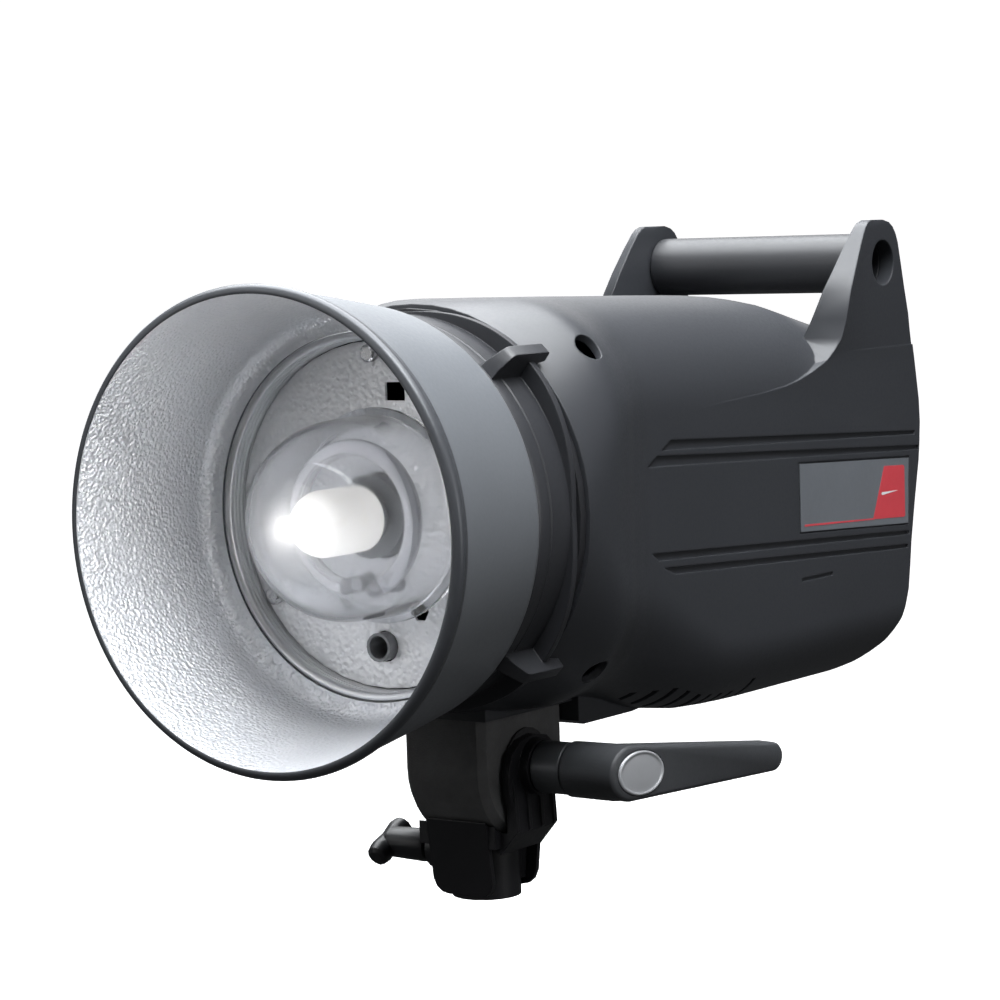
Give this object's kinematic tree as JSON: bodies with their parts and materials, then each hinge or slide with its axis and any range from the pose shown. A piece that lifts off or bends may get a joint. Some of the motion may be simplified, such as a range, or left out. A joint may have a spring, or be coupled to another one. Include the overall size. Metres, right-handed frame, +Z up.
{
  "type": "monolight studio strobe",
  "caption": "Monolight studio strobe with a flared bowl reflector, glass dome, rear controls, carrying handle, lever-locked tilt head and stand clamp.",
  "frame": {"origin": "centre of the stand socket's mouth, on the socket's axis", "axes": "+Z up along the stand, -Y the way the light faces, +X the side with the tilt lever"},
  "size_m": [0.18, 0.4008, 0.2622],
  "materials": {
    "painted_reflector": "satin grey paint",
    "bare_aluminium": "satin",
    "pebbled_aluminium": "pebbled, bright",
    "charcoal_plastic": "satin charcoal",
    "black_plastic": "satin black",
    "steel": "zinc plated",
    "clear_glass": "clear",
    "lamp_glass": "frosted, lit",
    "ceramic": "unglazed",
    "circuit_board": "solder mask",
    "brass": "satin",
    "rubber": "matt",
    "badge": "satin grey",
    "label": "satin grey print",
    "red_plastic": "gloss red",
    "screen": "dark tinted"
  },
  "bodies": {
    "bracket": {"stand_bracket": "black_plastic", "friction_disc_right": "rubber", "friction_disc_left": "rubber", "pivot_bolt": "steel", "pivot_nut": "steel"},
    "lever": {"lever_collar": "bare_aluminium", "lever_arm": "black_plastic", "lever_badge": "badge"},
    "clamp_pad_body": {"clamp_pad": "brass"},
    "clamp_knob_body": {"clamp_knob": "charcoal_plastic"},
    "ring": {"locking_ring": "black_plastic"},
    "reflector": {"reflector_bowl": "painted_reflector", "reflector_collar": "bare_aluminium"},
    "fan": {"fan_rotor": "black_plastic"},
    "dial_push_body": {"dial_bush": "steel"},
    "dial": {"dial_knob": "rubber"},
    "button_1": {"push_button_1": "charcoal_plastic"},
    "button_2": {"push_button_2": "charcoal_plastic"},
    "button_3": {"push_button_3": "charcoal_plastic"},
    "button_4": {"push_button_4": "charcoal_plastic"},
    "rocker": {"power_rocker": "red_plastic"},
    "fuse_cap_body": {"fuse_cap": "black_plastic"},
    "head": {"front_mount": "black_plastic", "base_plate": "pebbled_aluminium", "plate_screw_1": "steel", "plate_screw_2": "steel", "plate_screw_3": "steel", "glass_dome": "clear_glass", "flash_tube": "clear_glass", "flash_socket": "ceramic", "modelling_lamp": "lamp_glass", "lamp_socket": "ceramic", "umbrella_tube": "steel", "main_housing": "charcoal_plastic", "front_screw_1": "steel", "front_screw_2": "steel", "front_screw_3": "steel", "front_screw_4": "steel", "handle_tube": "black_plastic", "label_plate_right": "label", "label_plate_left": "label", "chassis": "bare_aluminium", "capacitor_1": "black_plastic", "capacitor_2": "black_plastic", "power_board": "circuit_board", "trigger_transformer": "black_plastic", "control_board": "circuit_board", "fan_frame": "black_plastic", "rear_panel": "black_plastic", "display_window": "screen", "rocker_bezel": "black_plastic", "power_inlet": "black_plastic", "fuse_holder": "black_plastic", "sync_jack": "brass", "photocell": "red_plastic", "tilt_ear": "charcoal_plastic"}
  },
  "joints": [
    {"name": "head_tilt", "type": "hinge", "parent": "bracket", "child": "head", "pos_m": [0, 0.001, 0.053], "axis": [1, 0, 0], "range_deg": [-40, 40]},
    {"name": "tilt_lever_turn", "type": "hinge", "parent": "bracket", "child": "lever", "pos_m": [0, 0.001, 0.053], "axis": [1, 0, 0], "range_deg": [-120, 0]},
    {"name": "clamp_pad_slide", "type": "slide", "parent": "bracket", "child": "clamp_pad_body", "axis": [1, 0, 0], "range_m": [-0.003, 0]},
    {"name": "clamp_knob_turn", "type": "hinge", "parent": "clamp_pad_body", "child": "clamp_knob_body", "pos_m": [-0.038, 0, 0.017], "axis": [1, 0, 0], "range_deg": [-863.5, 0]},
    {"name": "locking_ring_turn", "type": "hinge", "parent": "head", "child": "ring", "pos_m": [0, -0.055, 0.157], "axis": [0, 1, 0], "range_deg": [0, 25]},
    {"name": "reflector_turn", "type": "hinge", "parent": "head", "child": "reflector", "pos_m": [0, -0.103, 0.157], "axis": [0, 1, 0], "range_deg": [0, 20]},
    {"name": "fan_spin", "type": "hinge", "parent": "head", "child": "fan", "pos_m": [0, 0.2015, 0.156], "axis": [0, 1, 0], "continuous": true},
    {"name": "dial_press", "type": "slide", "parent": "head", "child": "dial_push_body", "axis": [0, -1, 0], "range_m": [0, 0.001], "stiffness_N_per_m": 900, "springref_m": -0.001},
    {"name": "dial_turn", "type": "hinge", "parent": "dial_push_body", "child": "dial", "pos_m": [0, 0.254, 0.15], "axis": [0, 1, 0], "continuous": true},
    {"name": "button_1_press", "type": "slide", "parent": "head", "child": "button_1", "axis": [0, -1, 0], "range_m": [0, 0.001], "stiffness_N_per_m": 500, "springref_m": -0.001},
    {"name": "button_2_press", "type": "slide", "parent": "head", "child": "button_2", "axis": [0, -1, 0], "range_m": [0, 0.001], "stiffness_N_per_m": 500, "springref_m": -0.001},
    {"name": "button_3_press", "type": "slide", "parent": "head", "child": "button_3", "axis": [0, -1, 0], "range_m": [0, 0.001], "stiffness_N_per_m": 500, "springref_m": -0.001},
    {"name": "button_4_press", "type": "slide", "parent": "head", "child": "button_4", "axis": [0, -1, 0], "range_m": [0, 0.001], "stiffness_N_per_m": 500, "springref_m": -0.001},
    {"name": "power_rocker_tip", "type": "hinge", "parent": "head", "child": "rocker", "pos_m": [0.002, 0.245, 0.12], "axis": [1, 0, 0], "range_deg": [0, 10]},
    {"name": "fuse_cap_turn", "type": "hinge", "parent": "head", "child": "fuse_cap_body", "pos_m": [0.034, 0.249, 0.12], "axis": [0, 1, 0], "range_deg": [0, 60]}
  ],
  "couplings": [
    {"joint": "clamp_knob_turn", "follows": "clamp_pad_slide", "rad_per_m": 5020}
  ]
}
